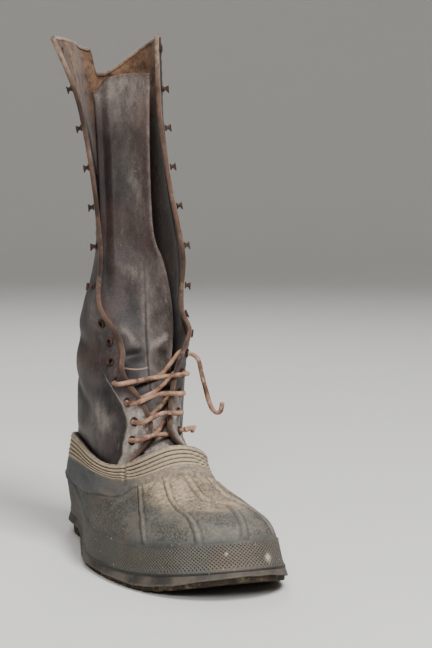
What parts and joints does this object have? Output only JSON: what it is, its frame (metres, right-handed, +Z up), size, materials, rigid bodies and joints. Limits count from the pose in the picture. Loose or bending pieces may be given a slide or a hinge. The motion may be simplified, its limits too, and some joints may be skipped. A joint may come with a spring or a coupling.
{
  "type": "lace-up pac boot",
  "caption": "Tall worn lace-up boot for the right foot: moulded rubber bottom, slack leather shaft open at the throat, tongue, rusty hooks and eyelets, short lace",
  "frame": {"origin": "on the floor under the middle of the boot's box, taken without the free lace ends", "axes": "+Z up the shaft, -Y towards the toe, +X towards the medial side of the right foot"},
  "size_m": [0.1289, 0.318, 0.4281],
  "materials": {
    "sole_rubber": "rough worn rubber",
    "rubber": "dusty matt rubber",
    "felt": "worn felt board",
    "leather": "worn waxed leather",
    "tongue_leather": "soft worn leather",
    "rusty_metal": "rusted",
    "rawhide": "dry rawhide cord"
  },
  "bodies": {
    "root": {"outsole": "sole_rubber", "rubber_bottom": "rubber", "insole": "felt", "leather_shaft": "leather", "tongue": "tongue_leather", "eyelet_lateral_1": "rusty_metal", "eyelet_lateral_2": "rusty_metal", "eyelet_lateral_3": "rusty_metal", "eyelet_lateral_4": "rusty_metal", "eyelet_lateral_5": "rusty_metal", "eyelet_lateral_6": "rusty_metal", "eyelet_lateral_7": "rusty_metal", "eyelet_lateral_8": "rusty_metal", "eyelet_medial_1": "rusty_metal", "eyelet_medial_2": "rusty_metal", "eyelet_medial_3": "rusty_metal", "eyelet_medial_4": "rusty_metal", "eyelet_medial_5": "rusty_metal", "eyelet_medial_6": "rusty_metal", "eyelet_medial_7": "rusty_metal", "eyelet_medial_8": "rusty_metal", "hook_lateral_1": "rusty_metal", "hook_lateral_2": "rusty_metal", "hook_lateral_3": "rusty_metal", "hook_lateral_4": "rusty_metal", "hook_lateral_5": "rusty_metal", "hook_lateral_6": "rusty_metal", "hook_medial_1": "rusty_metal", "hook_medial_2": "rusty_metal", "hook_medial_3": "rusty_metal", "hook_medial_4": "rusty_metal", "hook_medial_5": "rusty_metal", "hook_medial_6": "rusty_metal", "lace_bar_1": "rawhide", "lace_bar_2": "rawhide", "lace_bar_3": "rawhide", "lace_bar_4": "rawhide", "lace_end_long": "rawhide", "lace_end_stub": "rawhide"}
  },
  "joints": []
}
